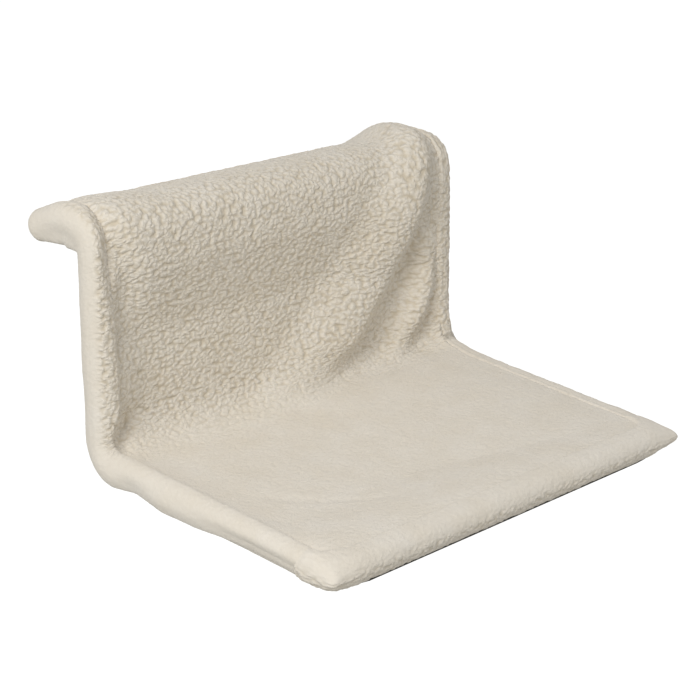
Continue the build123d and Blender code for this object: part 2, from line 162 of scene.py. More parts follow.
# %% [markdown]
# The pile cloth is a polyester sherpa: a knitted ground whose pile has been tumbled into small
# curls, about 3 mm one way and 5 mm along the knitted rows. The curls are cells of a Voronoi
# pattern, bent out of shape by noise. One function draws that pattern, because two trees need
# it: Geometry Nodes moves the cloth by it, and the material shades by it between the points of
# the mesh. Both read it on the flat cloth, from an attribute that each piece carries.

# %% The pattern of the curls
curl_length = 3.2 * mm
row_stretch = 1.5
curl_bend = 1.5
crown_fall = 1.3


def curls(tree, place, size, stretch, bend):
    """1 on the crown of a curl and about 0 in the gaps, over a place on the flat cloth."""
    down = calculate(tree, "DIVIDE", 1.0, size)
    along = calculate(tree, "DIVIDE", down, stretch)
    scale = add_node(tree, "ShaderNodeCombineXYZ", {"X": along, "Y": down, "Z": down})
    cell = add_node(tree, "ShaderNodeVectorMath", {0: place, 1: scale}, operation="MULTIPLY")
    drift = add_node(tree, "ShaderNodeTexNoise", {"Vector": cell, "Scale": 0.7, "Detail": 1.0})
    middle = add_node(tree, "ShaderNodeVectorMath", {
        0: drift.outputs["Color"], 1: (0.5, 0.5, 0.5),
    }, operation="SUBTRACT")
    push = add_node(tree, "ShaderNodeVectorMath", {0: middle, "Scale": bend}, operation="SCALE")
    bent = add_node(tree, "ShaderNodeVectorMath", {0: cell, 1: push}, operation="ADD")
    cells = add_node(tree, "ShaderNodeTexVoronoi", {
        "Vector": bent, "Scale": 1.0, "Smoothness": 0.3,
    }, feature="SMOOTH_F1", voronoi_dimensions="2D")
    return calculate(tree, "MULTIPLY_ADD", cells, -crown_fall, 1.0)


# %% [markdown]
# Sherpa is quite matt, with a faint sheen where loose fibres catch the light. A curl looks lighter
# than the gap beside it because of how it is lit, so the relief does most of the work. The colour
# also darkens and warms towards the gaps, the more the deeper the pile: that is painted shade in
# the crevices. A second, finer relief stands for the fibres, which are too thin to show and are drawn at 2.2
# mm.

# %% Pile cloth
patch_size = 40 * mm
fibre_size = 2.2 * mm

pile_cloth, tree, shader = new_material("sherpa_pile_cloth", {
    "Roughness": 0.95, "Sheen Weight": 0.2, "Sheen Roughness": 0.6, "Specular IOR Level": 0.15,
})
place = add_node(tree, "ShaderNodeAttribute", attribute_name="cloth_place").outputs["Vector"]
relief = add_node(tree, "ShaderNodeAttribute", attribute_name="pile_relief").outputs["Fac"]
crown = curls(tree, place, curl_length, row_stretch, curl_bend)
# Painted shade: the colour darkens and warms from the crowns into the gaps between curls, times the pile's
# depth.
painted_gap_shade = calculate(tree, "SUBTRACT", 1.0, crown)
depth = calculate(tree, "MULTIPLY", painted_gap_shade, relief)
tone = add_node(tree, "ShaderNodeValToRGB", {"Fac": depth}, [
    (0.0, "#E8E1D5"), (0.45, "#E3DBCD"), (1.0, "#D3C8B4"),
])
patches = add_node(tree, "ShaderNodeTexNoise", {
    "Vector": place, "Scale": per_metre(patch_size), "Detail": 2.0,
})
patch_tone = add_node(tree, "ShaderNodeValToRGB", {"Fac": patches}, [(0.3, "#F7F4EE"), (0.7, "#FFFFFF")])
body = add_node(tree, "ShaderNodeMix", {
    0: 0.6, 6: tone, 7: patch_tone,
}, data_type="RGBA", blend_type="MULTIPLY")
fibres = add_node(tree, "ShaderNodeTexNoise", {
    "Vector": place, "Scale": per_metre(fibre_size), "Detail": 3.0, "Roughness": 0.65, "Distortion": 0.6,
})
fibre_bump = add_node(tree, "ShaderNodeBump", {"Height": fibres, "Distance": 0.6 * mm, "Strength": 1.0})
curl_height = calculate(tree, "MULTIPLY", crown, relief)
curl_bump = add_node(tree, "ShaderNodeBump", {
    "Height": curl_height, "Distance": 1.0 * mm, "Strength": 1.0, "Normal": fibre_bump,
})
connect(tree, shader, {"Base Color": body.outputs[2], "Normal": curl_bump})
print("pile cloth made")

# %% [markdown]
# The linings are a thin plain-woven polyester in a dark grey brown. Its threads are about 0.3 mm
# apart, too fine to show, so the weave is drawn at 6 mm. The touch closure's two tapes are woven
# too, paler, and drawn at 10 mm. A wave texture has 20 radians to a metre at a scale of 1, which
# gives the length of its wave.

# %% Lining cloth and closure tape
wave_length = 2 * math.pi / 20


def woven(name, light, dark, spacing, roughness):
    """A plain weave: threads both ways across the flat cloth, a spacing apart."""
    material, tree, shader = new_material(name, {
        "Roughness": roughness, "Specular IOR Level": 0.25, "Sheen Weight": 0.1,
    })
    place = add_node(tree, "ShaderNodeAttribute", attribute_name="cloth_place").outputs["Vector"]
    threads = []
    for direction in ("X", "Y"):
        wave = add_node(tree, "ShaderNodeTexWave", {
            "Vector": place, "Scale": wave_length * per_metre(spacing), "Distortion": 0.6, "Detail": 1.0,
        }, wave_profile="SIN", bands_direction=direction)
        threads.append(wave.outputs["Fac"])
    weave = calculate(tree, "MULTIPLY", threads[0], threads[1])
    tone = add_node(tree, "ShaderNodeValToRGB", {"Fac": weave}, [(0.05, dark), (0.8, light)])
    raised = add_node(tree, "ShaderNodeBump", {"Height": weave, "Distance": 0.2 * mm, "Strength": 0.7})
    connect(tree, shader, {"Base Color": tone, "Normal": raised})
    return material


lining_cloth = woven("plain_woven_lining", "#57524A", "#4B4740", 6.283 * mm, 0.85)
closure_tape = woven("touch_closure_tape", "#D3CBBC", "#A79E8D", 10.053 * mm, 0.95)
print("linings and tapes made")

# %% [markdown]
# The stitches are a spun thread with its own fine twist. The frame hides inside the cover, but it
# still gets its real finishes: powder-coated steel tube with a fine orange peel, zinc-plated
# fasteners with a faint spangle, and moulded rubber caps. All four are one tone broken up by a
# fine grain, so one function makes them, each with its own grain.

# %% Sewing thread and finishes of the frame
def grained(name, inputs, pattern, size, stops, bump=0):
    """A material whose tone follows a pattern of one grain size, and its surface too with a bump."""
    material, tree, shader = new_material(name, inputs)
    place = add_node(tree, "ShaderNodeTexCoord").outputs["Object"]
    grain = add_node(tree, pattern, {"Vector": place, "Scale": per_metre(size)})
    tone = add_node(tree, "ShaderNodeValToRGB", {"Fac": grain}, stops)
    connect(tree, shader, {"Base Color": tone})
    if bump:
        raised = add_node(tree, "ShaderNodeBump", {"Height": grain, "Distance": bump})
        connect(tree, shader, {"Normal": raised})
    return material


sewing_thread = grained(
    "spun_sewing_thread", {"Roughness": 0.7, "Specular IOR Level": 0.3},
    "ShaderNodeTexNoise", 0.6 * mm, [(0.35, "#8D867A"), (0.65, "#A69F92")],
)
powder_coat = grained(
    "powder_coated_steel", {"Roughness": 0.42},
    "ShaderNodeTexNoise", 1.5 * mm, [(0.3, "#D9D7D1"), (0.7, "#E2E0DB")], 0.05 * mm,
)
zinc_plate = grained(
    "zinc_plated_steel", {"Metallic": 1.0, "Roughness": 0.35},
    "ShaderNodeTexVoronoi", 2.0 * mm, [(0.0, "#B9BCC0"), (1.0, "#9CA0A5")],
)
cap_rubber = grained(
    "moulded_rubber", {"Roughness": 0.7, "Specular IOR Level": 0.3},
    "ShaderNodeTexNoise", 0.8 * mm, [(0.3, "#26272B"), (0.7, "#37393E")], 0.1 * mm,
)
frame_finishes = {
    powder_coat: ["left_side_tube", "right_side_tube", "seat_hoop", "top_cross_tube"],
    zinc_plate: [
        "cross_tube_inserts", "saddle_washers", "cross_tube_bolts", "hoop_lock_bolts", "hoop_cap_nuts",
    ],
    cap_rubber: ["left_hook_cap", "right_hook_cap"],
}
for finish, node_names in frame_finishes.items():
    for node_name in node_names:
        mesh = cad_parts[node_name].data
        mesh.materials.clear()
        mesh.materials.append(finish)
print("finishes given to the frame:", [finish.name for finish in frame_finishes])

# %% [markdown]
# Every cloth piece follows one bent line: along the hook arm, over the top, down the back, round
# the crease and out along the seat. The line is straight runs joined by arcs, so a small class
# rounds the corners of a polyline and then gives any point of it by its distance from the start.

# %% The bent line of the side
tube_y = -14 * mm
roll_radius = 14 * mm
bore_radius = 6.3 * mm
half_width = 216 * mm
hook_reach = 73 * mm
hook_slope = math.radians(21)
seat_pitch = math.radians(7.2)
seat_depth = 262 * mm
back_height = 218 * mm
top_bend = 32 * mm
crease_bend = 24 * mm

top_corner = np.array([tube_y, hook_reach * math.sin(hook_slope) + roll_radius * math.cos(hook_slope)])
crease_corner = top_corner - np.array([0, back_height])
hook_direction = np.array([math.cos(hook_slope), -math.sin(hook_slope)])
hook_normal = np.array([math.sin(hook_slope), math.cos(hook_slope)])
seat_direction = np.array([-math.cos(seat_pitch), -math.sin(seat_pitch)])
seat_normal = np.array([-math.sin(seat_pitch), math.cos(seat_pitch)])


class BentLine:
    """A polyline in a plane with rounded corners, read by distance from its start."""

    def __init__(self, corners, radii, step=0.5 * mm):
        corners = [np.array(corner, float) for corner in corners]
        points = [corners[0]]
        for before, corner, after, radius in zip(corners, corners[1:], corners[2:], radii):
            back = (before - corner) / np.linalg.norm(before - corner)
            ahead = (after - corner) / np.linalg.norm(after - corner)
            half_angle = math.acos(float(np.clip(back @ ahead, -1, 1))) / 2
            reach = radius / math.tan(half_angle)
            middle = (back + ahead) / np.linalg.norm(back + ahead)
            centre = corner + middle * radius / math.sin(half_angle)
            first = corner + back * reach - centre
            last = corner + ahead * reach - centre
            sweep = math.pi - 2 * half_angle
            for part in np.linspace(0, 1, max(int(sweep * radius / step), 2) + 1):
                turn = math.sin((1 - part) * sweep) * first + math.sin(part * sweep) * last
                points.append(centre + turn / math.sin(sweep))
        points = np.array([*points, corners[-1]])
        lengths = np.concatenate([[0], np.cumsum(np.linalg.norm(np.diff(points, axis=0), axis=1))])
        self.length = float(lengths[-1])
        self.runs = np.linspace(0, self.length, max(int(self.length / step), 2))
        self.points = np.stack([np.interp(self.runs, lengths, points[:, axis]) for axis in (0, 1)], axis=1)

    def at(self, run):
        """Points and outward (pile side) directions at distances along the line."""
        run = np.asarray(run, float)
        spots = [
            np.stack([np.interp(run + shift, self.runs, self.points[:, axis]) for axis in (0, 1)], axis=-1)
            for shift in (-mm, 0, mm)
        ]
        tangent = spots[2] - spots[0]
        tangent /= np.linalg.norm(tangent, axis=-1, keepdims=True)
        return spots[1], np.stack([tangent[..., 1], -tangent[..., 0]], axis=-1)


def hook_point(distance, height):
    """A point by its distance back along the hook arm and its height over the tube's middle."""
    return top_corner + hook_direction * distance + hook_normal * height


def seat_point(distance, height):
    """A point by its distance forward along the seat rail and its height over the tube's middle."""
    return crease_corner + seat_direction * distance + seat_normal * height


def top_corner_at(height):
    """The line's top corner, where it runs that far outside the tube's middle."""
    return top_corner + np.array([-height, height * (1 + math.sin(hook_slope)) / math.cos(hook_slope)])


def crease_corner_at(depth):
    """The line's crease corner, where it runs that far behind and below the tube's middle."""
    return crease_corner + np.array([depth, -depth * (1 - math.sin(seat_pitch)) / math.cos(seat_pitch)])


print("the line turns at", top_corner.round(4), "and", crease_corner.round(4))

# %% [markdown]
# The panel is the lying surface: one length of cloth over the top, down the back and along the
# seat. A plain swept strip would look like board. Real cloth is sewn to the rolls at its edges
# and hangs slack between them, and here it falls in one broad fold from the right hook down
# across the back, with a smaller one beside it. Each of these is a small function of the place
# on the cloth, and their heights add up. The lines come first.

# %% The panel's line and the side's line
panel_half_width = 207.7 * mm
panel_half_thickness = 4 * mm
over_tube = bore_radius + panel_half_thickness
set_back = 6 * mm
cloth_overhang = 2 * mm
tip_overhang = 8 * mm
front_seam_inset = 7 * mm
side_sleeve_inset = 22 * mm
shoulder_drop = 10 * mm
shoulder_length = 58 * mm
shoulder_bend = 60 * mm
panel_crease_bend = 50 * mm

bend_start_z = top_corner[1] - top_bend * math.tan((math.pi / 2 + hook_slope) / 2)
shoulder_top = (tube_y - over_tube, bend_start_z - shoulder_drop)
shoulder_foot = (tube_y + set_back, shoulder_top[1] - shoulder_length)
panel_line = BentLine(
    [
        hook_point(hook_reach + cloth_overhang, over_tube), top_corner_at(over_tube),
        shoulder_top, shoulder_foot,
        crease_corner_at(set_back), seat_point(seat_depth - front_seam_inset, -set_back),
    ],
    [top_bend + over_tube, shoulder_bend, shoulder_bend, panel_crease_bend],
)
side_line = BentLine(
    [
        hook_point(hook_reach + tip_overhang, 0), top_corner,
        crease_corner, seat_point(seat_depth - side_sleeve_inset, 0),
    ],
    [top_bend, crease_bend],
)
ridge_run = float(panel_line.runs[panel_line.points[:, 1].argmax()])
gaps = panel_line.points[:, None, :] - side_line.points[None, :, :]
nearest = np.linalg.norm(gaps, axis=2).argmin(axis=1)
stand_off = np.sum(gaps[np.arange(len(nearest)), nearest] * side_line.at(side_line.runs[nearest])[1], axis=1)
print("the panel's line is", round(panel_line.length, 4), "m long, with the top fold at", round(ridge_run, 4))

# %% [markdown]
# Six tables give the folds: the broad one, the smaller one beside it, a groove along the left
# roll with a bridge across it and a pocket under that, and a slight crease of the seat. Each row
# is one place down the cloth: where the crest is across the width, how far down it lies from the
# top fold, how wide its left and right flanks are, and how high it stands, all in mm. A groove
# has a height below 0. The broad fold's left flank is wide and catches the light.

# %% The folds
ridge_fold = [
    (178, -44, 38, 40, 0), (184, -18, 38, 40, 9), (185, 6, 40, 38, 13), (181, 26, 46, 38, 14),
    (172, 45, 54, 36, 15), (162, 64, 62, 36, 17), (152, 88, 70, 38, 18), (145, 106, 76, 40, 19),
    (136, 123, 82, 42, 19), (127, 141, 86, 44, 19), (115, 158, 90, 46, 19), (98, 174, 94, 48, 19),
    (86, 189, 98, 50, 19), (72, 204, 100, 52, 18), (54, 218, 104, 56, 16), (32, 231, 106, 60, 12),
    (8, 245, 100, 62, 6), (-12, 262, 90, 60, 0),
]
side_fold = [
    (200, 98, 20, 16, 0), (197, 122, 26, 18, 12), (195, 142, 28, 22, 19), (192, 160, 30, 24, 22),
    (186, 177, 32, 26, 21), (178, 192, 34, 28, 19), (168, 210, 36, 30, 16), (155, 227, 38, 32, 10),
    (140, 245, 38, 32, 0),
]
left_valley = [
    (-212, 20, 10, 14, 0), (-208, 34, 12, 16, -4), (-204, 48, 14, 20, -6.5), (-199, 64, 16, 24, -6.5),
    (-195, 80, 18, 26, -6.5), (-193, 98, 18, 28, -6.5), (-191, 112, 18, 28, -4), (-188, 130, 18, 28, 0),
]
left_bridge = [(-196, 140, 20, 30, 0), (-195, 168, 20, 36, 5), (-195, 190, 20, 34, 5), (-192, 204, 20, 30, 0)]
left_pocket = [
    (-180, 200, 20, 24, 0), (-186, 211, 22, 26, -5), (-200, 223, 24, 22, -8.5), (-205, 234, 24, 16, -7),
    (-207, 250, 24, 14, 0),
]
seat_crease = [
    (-188, 340, 12, 16, 0), (-142, 394, 14, 20, -1.3), (-92, 436, 14, 20, -1.2), (-70, 460, 14, 20, 0),
]
fold_tables = (ridge_fold, side_fold, left_valley, left_bridge, left_pocket, seat_crease)


def smooth(value, low, high):
    """0 below low, 1 above high, and a soft step between."""
    part = np.clip((value - low) / (high - low), 0, 1)
    return part * part * (3 - 2 * part)


def fold(across, down, stations):
    """The height of a fold along its rows of crest, distance down, flanks and height, in mm."""
    table = np.array(stations, float) * mm
    crest, left, right, height = (np.interp(down, table[:, 1], table[:, column]) for column in (0, 2, 3, 4))
    aside = np.where(across < crest, (crest - across) / left, (across - crest) / right)
    return height * (1 + np.cos(math.pi * np.clip(aside, 0, 1))) / 2


print("folds:", len(fold_tables), "tables of", [len(stations) for stations in fold_tables], "rows")

# %% [markdown]
# At both sides and at the front, the panel meets a roll of cloth, and no step shows there. So
# near an edge the panel's height gives way to the height of the roll beside it: the weight is 1
# on the seam and falls off over 6 to 14 mm, and the panel's rim is tucked in just under the roll.
# The folds pull on the seams too: a table for each side gives pairs of a distance down from the
# top fold and how far the seam is lifted or sunk there, in mm, and the sleeve follows it too.
# The top corner bulges, because stuffed cloth turns over the tube in a tighter corner than the
# tube itself. The seat's cloth is drawn up level with the rolls on its right and at its front.

# %% The panel's heights
shoulder_bulge = 5.5 * mm
shoulder_span = 66 * mm
crease_fill = 6 * mm
seat_rise = 4.5 * mm
drawn_rise = 11.2 * mm
top_sag = 3.5 * mm
tuck = 0.6 * mm
upper_left_fall = 6 * mm
lower_left_extra = 5 * mm
right_fall = 14 * mm
front_fall = 9 * mm
front_pull = 1.9 * mm
left_pull = mm * np.array([
    (12, 0), (30, -6.5), (50, -8.5), (66, -7.5), (84, -5), (110, -2), (145, 0),
    (172, 1.5), (202, 1.5), (220, -6), (236, -6), (262, -3), (520, -3),
])
right_pull = mm * np.array([
    (-44, 0), (-15, 4), (10, 5), (40, 3), (70, 2), (110, 1), (150, 1), (185, 1), (240, 1.5), (275, 2.2),
])
seam_pull = {-1: left_pull, 1: right_pull}
seam_height = math.sqrt(roll_radius ** 2 - (half_width - panel_half_width) ** 2)
front_seam_height = math.sqrt(roll_radius ** 2 - front_seam_inset ** 2) + front_pull


def roll_lift(side, down):
    """How far a side's roll stands out: at the top corner, and at the filled crease on the right."""
    bulge = shoulder_bulge * np.sin(math.pi * np.clip(down / shoulder_span, 0, 1)) ** 2
    fill = crease_fill * smooth(down, 195 * mm, 232 * mm) * (1 - smooth(down, 240 * mm, 290 * mm))
    return bulge + (fill if side > 0 else 0)


def panel_rise(across, run):
    """How far the pile side stands off its plain line at a place of the cloth."""
    down = run - ridge_run
    edge = panel_half_width - np.abs(across)
    front = panel_line.length - run
    on_seat = smooth(down, 215 * mm, 275 * mm)
    drawn = np.maximum(smooth(across, -80 * mm, 200 * mm), 1 - smooth(front, 8 * mm, 90 * mm))
    rise = on_seat * (seat_rise + drawn_rise * drawn)
    rise = rise - top_sag * smooth(edge, 15 * mm, 80 * mm) * (1 - smooth(down, 5 * mm, 50 * mm))
    for stations in fold_tables:
        rise = rise + fold(across, down, stations)
    plain = np.interp(run, panel_line.runs, stand_off) + panel_half_thickness
    rise = rise + roll_lift(-1, down)
    left, right = (roll_lift(side, down) + np.interp(down, *seam_pull[side].T) for side in (-1, 1))
    seam = seam_height - tuck + np.where(across < 0, left, right)
    left_fall = upper_left_fall + lower_left_extra * smooth(down, 110 * mm, 150 * mm)
    side_weight = np.exp(-edge / np.where(across < 0, left_fall, right_fall))
    front_weight = np.exp(-front / front_fall)
    rise = rise + (seam - plain - rise) * side_weight
    return rise + (front_seam_height - tuck - plain - rise) * front_weight


print("the front seam stands", round(front_seam_height, 4), "m over the middle of the front tube")

# %% [markdown]
# The pile is worked deep on the back, and lies flatter on the top fold and the seat. The panel
# and the side sleeves share this rule, and each starts from its own depth on the top fold.

# %% The depth of the pile
seat_flattening = 0.76


# A deeper pile also gets more of the material's painted shade in its gaps, so it comes out darker.
def pile_depth(down, on_top):
    """The pile's depth by the distance down: on_top on the top fold, 1 on the back, less on the seat."""
    worked = on_top + (1 - on_top) * smooth(down, -10 * mm, 35 * mm)
    return worked - seat_flattening * smooth(down, 205 * mm, 275 * mm)


def panel_relief(across, run):
    """The panel's depth of pile, a little deeper along its front seam."""
    front = panel_line.length - run
    return pile_depth(run - ridge_run, 0.6) + 0.06 * (1 - smooth(front, 0, 14 * mm))


print("on the seat the pile keeps", round(1 - seat_flattening, 2), "of its depth")

# %% [markdown]
# A sheet of cloth is a fine grid on the pile side and a grid four times coarser on the back,
# joined round the rim. That keeps the curls fine where they show, and the cloth closed. Every
# point carries its place on the flat cloth and the depth of its pile, as two attributes.

# %% Meshes of cloth
def link_mesh(name, vertices, faces, places, reliefs):
    """A mesh object at the origin, with its cloth attributes and its faces turned outwards."""
    mesh = bpy.data.meshes.new(name)
    mesh.from_pydata(np.asarray(vertices, float).tolist(), [], faces)
    flat = np.zeros((len(vertices), 3), np.float32)
    flat[:, :2] = places
    mesh.attributes.new("cloth_place", "FLOAT_VECTOR", "POINT").data.foreach_set("vector", flat.ravel())
    depth = np.asarray(reliefs, np.float32)
    mesh.attributes.new("pile_relief", "FLOAT", "POINT").data.foreach_set("value", depth)
    bm = bmesh.new()
    bm.from_mesh(mesh)
    bmesh.ops.recalc_face_normals(bm, faces=bm.faces)
    bm.to_mesh(mesh)
    bm.free()
    mesh.polygons.foreach_set("use_smooth", [True] * len(mesh.polygons))
    return add_object(name, mesh)


def quads(index, closed=False):
    """The faces between the rows and columns of a grid of vertex numbers."""
    if closed:
        index = np.concatenate([index, index[:, :1]], axis=1)
    corners = [index[:-1, :-1], index[:-1, 1:], index[1:, 1:], index[1:, :-1]]
    return np.stack(corners, axis=-1).reshape(-1, 4).tolist()


def zero_height(across, run):
    """No rise of the cloth, and no pile on it."""
    return np.zeros(across.shape)


# %% [markdown]
# Where the pile side rises, the cloth's back follows by a share of it. Where it sinks, the back
# stays level at first and gives way past 6 mm. A sewn edge thins out to a rim.

# %% Sheets of cloth
rim_thickness = 1.6 * mm
sunk_limit = 6 * mm


def cloth_strip(
    name, line, half_span, thickness, steps, rise=zero_height, relief=zero_height, follow=1.0, sewn=0.0,
    spread=None,
):
    """A closed sheet along a bent line; its back follows a rise by a share, and its edges thin out
    over the width sewn. Spread scales its width by the place along the line."""
    vertices, places, reliefs, faces, grids = [], [], [], [], []
    for step, side in ((1, 1), (4, -1)):
        across, run = np.meshgrid(
            np.linspace(-half_span, half_span, steps[0] // step + 1),
            np.linspace(0, line.length, steps[1] // step + 1),
        )
        edge = np.minimum(half_span - np.abs(across), line.length - run)
        if spread is not None:
            across = across * spread(run)
        spot, outward = line.at(run)
        lift = rise(across, run)
        height = thickness / 2 + lift
        if side < 0:
            body = smooth(edge, 0, sewn) if sewn else 1
            under = follow * np.maximum(lift, 0) + np.minimum(lift + sunk_limit, 0) - thickness / 2
            height = under * body + (height - rim_thickness) * (1 - body)
        spot = spot + outward * height[..., None]
        rows, columns = across.shape
        grids.append(np.arange(columns * rows).reshape(rows, columns) + len(vertices))
        vertices.extend(np.stack([across, spot[..., 0], spot[..., 1]], axis=-1).reshape(-1, 3))
        places.extend(np.stack([across, run], axis=-1).reshape(-1, 2))
        reliefs.extend(relief(across, run).ravel())
        faces.extend(quads(grids[-1]))
    fine, coarse = grids
    rims = [
        (fine[0, :], coarse[0, :]), (fine[:, -1], coarse[:, -1]),
        (fine[-1, ::-1], coarse[-1, ::-1]), (fine[::-1, 0], coarse[::-1, 0]),
    ]
    for near, far in rims:
        near, far = near.tolist(), far.tolist()
        for cell in range(len(far) - 1):
            part = near[4 * cell:4 * cell + 5]
            faces.append([part[0], part[1], part[2], far[cell]])
            faces.append([part[2], far[cell + 1], far[cell]])
            faces.append([part[2], part[3], part[4], far[cell + 1]])
    return link_mesh(name, vertices, faces, places, reliefs)


panel = cloth_strip(
    "sherpa_panel_cloth", panel_line, panel_half_width, 2 * panel_half_thickness, (240, 368),
    panel_rise, panel_relief, follow=0.8, sewn=12 * mm,
)
print("panel:", len(panel.data.polygons), "faces")

# %% [markdown]
# Geometry Nodes work the curls into the surface: every point moves out along its normal by the
# same pattern as the material's, times the depth of its pile. A slow noise adds the swell of
# stuffed cloth. The tree has its sizes as named inputs, and its result becomes a plain mesh.

# %% Start and end of a Geometry Nodes tree
def start_tree(name, sizes, material_input):
    """A Geometry Nodes tree with its sizes and its material as named inputs, and their sockets."""
    tree = bpy.data.node_groups.new(name, "GeometryNodeTree")
    tree.interface.new_socket("Geometry", in_out="INPUT", socket_type="NodeSocketGeometry")
    for size_name, value in sizes.items():
        size_input = tree.interface.new_socket(size_name, in_out="INPUT", socket_type="NodeSocketFloat")
        size_input.default_value = value
    tree.interface.new_socket(material_input, in_out="INPUT", socket_type="NodeSocketMaterial")
    tree.interface.new_socket("Geometry", in_out="OUTPUT", socket_type="NodeSocketGeometry")
    return tree, add_node(tree, "NodeGroupInput").outputs


def end_tree(tree, geometry, material):
    """Makes real mesh of every copy, gives it its material and puts it out."""
    realised = add_node(tree, "GeometryNodeRealizeInstances", {"Geometry": geometry})
    dressed = add_node(tree, "GeometryNodeSetMaterial", {"Geometry": realised, "Material": material})
    add_node(tree, "NodeGroupOutput", {"Geometry": dressed})


print("tree helpers ready")

# %% [markdown]
# The pile's tree reads the two attributes of the cloth. The pattern is taken off its middle
# height, so curls rise, gaps sink and the cloth keeps its place.

# %% The pile modifier
curl_middle = 0.45

curly_pile, sizes = start_tree("curly_pile", {
    "Curl Length": curl_length, "Row Stretch": row_stretch, "Curl Bend": curl_bend,
    "Pile Height": 1.5 * mm, "Swell Size": 28 * mm, "Swell Height": 1.2 * mm,
}, "Cloth")
tree = curly_pile
place = add_node(tree, "GeometryNodeInputNamedAttribute", {"Name": "cloth_place"}, data_type="FLOAT_VECTOR")
relief = add_node(tree, "GeometryNodeInputNamedAttribute", {"Name": "pile_relief"}, data_type="FLOAT")
spot = add_node(tree, "GeometryNodeInputPosition")
normal = add_node(tree, "GeometryNodeInputNormal")
crown = curls(tree, place.outputs[0], sizes["Curl Length"], sizes["Row Stretch"], sizes["Curl Bend"])
above = calculate(tree, "SUBTRACT", crown, curl_middle)
depth = calculate(tree, "MULTIPLY", relief, sizes["Pile Height"])
curl = calculate(tree, "MULTIPLY", above, depth)
often = calculate(tree, "DIVIDE", 1.0, sizes["Swell Size"])
slow = add_node(tree, "ShaderNodeTexNoise", {"Vector": spot, "Scale": often, "Detail": 1.0})
level = calculate(tree, "SUBTRACT", slow, 0.5)
height = calculate(tree, "MULTIPLY_ADD", level, sizes["Swell Height"], curl)
offset = add_node(tree, "ShaderNodeVectorMath", {0: normal, "Scale": height}, operation="SCALE")
moved = add_node(tree, "GeometryNodeSetPosition", {"Geometry": sizes["Geometry"], "Offset": offset})
end_tree(tree, moved, sizes["Cloth"])


def apply_tree(piece, node_tree, values):
    """Runs a Geometry Nodes tree on a piece and keeps the result as its plain mesh."""
    modifier = piece.modifiers.new(node_tree.name, "NODES")
    modifier.node_group = node_tree
    for item in node_tree.interface.items_tree:
        if item.item_type == "SOCKET" and item.in_out == "INPUT" and item.name in values:
            modifier[item.identifier] = values[item.name]
    bpy.context.view_layer.update()
    made = bpy.data.meshes.new_from_object(piece.evaluated_get(bpy.context.evaluated_depsgraph_get()))
    piece.modifiers.clear()
    old = piece.data
    piece.data = made
    bpy.data.meshes.remove(old)
    made.name = piece.name


apply_tree(panel, curly_pile, {"Cloth": pile_cloth})
print("pile grown on the panel:", [m.name for m in panel.data.materials])

# %% [markdown]
# The sleeves wrap the tubes. Each is a grid of rings swept along the side's line. Along the hook
# arm the ring stretches down to the level of the radiator's top, which makes the deep, smooth
# wing that covers the hook, and the rings close over the arm's end in a soft dome. A second,
# plain set of rings inside is the cloth's back against the tube, so the sleeve is a hollow sock.

# %% Hollow sleeves from rings
def sock(name, outer, inner, places, relief, closed_start):
    """A hollow sleeve: rings outside, rings inside, and cloth between them at the open ends."""
    wide = np.arange(outer.shape[0] * outer.shape[1]).reshape(outer.shape[:2])
    narrow = np.arange(inner.shape[0] * inner.shape[1]).reshape(inner.shape[:2]) + wide.size
    vertices = np.concatenate([outer.reshape(-1, 3), inner.reshape(-1, 3)])
    faces = quads(wide, closed=True) + quads(narrow, closed=True)
    ends = [(wide[-1], narrow[-1])]
    if closed_start:
        faces.append(wide[0, ::-1].tolist())
        faces.append(narrow[0].tolist())
    else:
        ends.append((wide[0], narrow[0]))
    share = outer.shape[1] // inner.shape[1]
    for far, near in ends:
        far, near = far.tolist(), near.tolist()
        for cell in range(len(near)):
            rim = [far[(share * cell + step) % len(far)] for step in range(share + 1)]
            faces.append([*rim, near[(cell + 1) % len(near)], near[cell]])
    flat = np.concatenate([places.reshape(-1, 2), np.zeros((narrow.size, 2))])
    depths = np.concatenate([relief.ravel(), np.zeros(narrow.size)])
    return link_mesh(name, vertices, faces, flat, depths)


# %% [markdown]
# The sleeve's section is a circle on the pile side. On the radiator's side it is drawn out to a
# rounded box, as deep as the wing needs. Its lower outer side waves on the left and flares out to
# the sewn front corner on the right, as the photograph's outline shows. Where a ring is flared, it
# is also a little flatter.

# %% Rings of the side sleeves
ring_step = 1.8 * mm
around = np.linspace(0, 2 * math.pi, 64, endpoint=False)
around_inside = around[::4]
flare_reach = 13 * mm
full_flare = 16 * mm
flattening = 0.2
left_wave = mm * np.array([
    (-250, -4), (-225, -5), (-190, -5), (-160, -3), (-130, 0),
    (-95, 1), (-60, -3), (-36, 1), (-24, 0.5), (-14, -1),
])


def corner_flare(distance):
    """How much further out the sewn right front corner reaches, by distance along the seat."""
    return flare_reach * smooth(distance, 185 * mm, 276 * mm)


def side_rings(side, runs, angles, radius, lift, flare):
    """Rings of a side sleeve; lift moves points to the pile side, and flare the outer ones outwards."""
    centre, outward = side_line.at(runs)
    out = np.maximum(np.sin(angles), 0) ** 1.5
    height = lift - radius * np.cos(angles) * (1 - flattening * flare / full_flare * out)
    spot = centre[:, None, :] + outward[:, None, :] * height[..., None]
    across = side * (half_width + radius * np.sin(angles) + flare * out)
    return np.stack([across, spot[..., 0], spot[..., 1]], axis=-1)


print("the left outline waves by", round(float(np.ptp(left_wave[:, 1])), 4), "m")

# %% [markdown]
# The sleeve's pull_ends say how far round from the panel a seam's pull reaches, on the back and
# on the seat. The photograph shows smooth cloth on the outer side of the left sleeve and curls
# from its front round to the panel, so the pile's depth goes with the angle.

# %% Side sleeves
wing_half_width = 10.5 * mm
wing_squareness = 3.5
wing_clearance = 2 * mm
tip_dome = 13 * mm
roll_blend = 8
slimming = 0.9 * mm
smooth_pile = 0.14


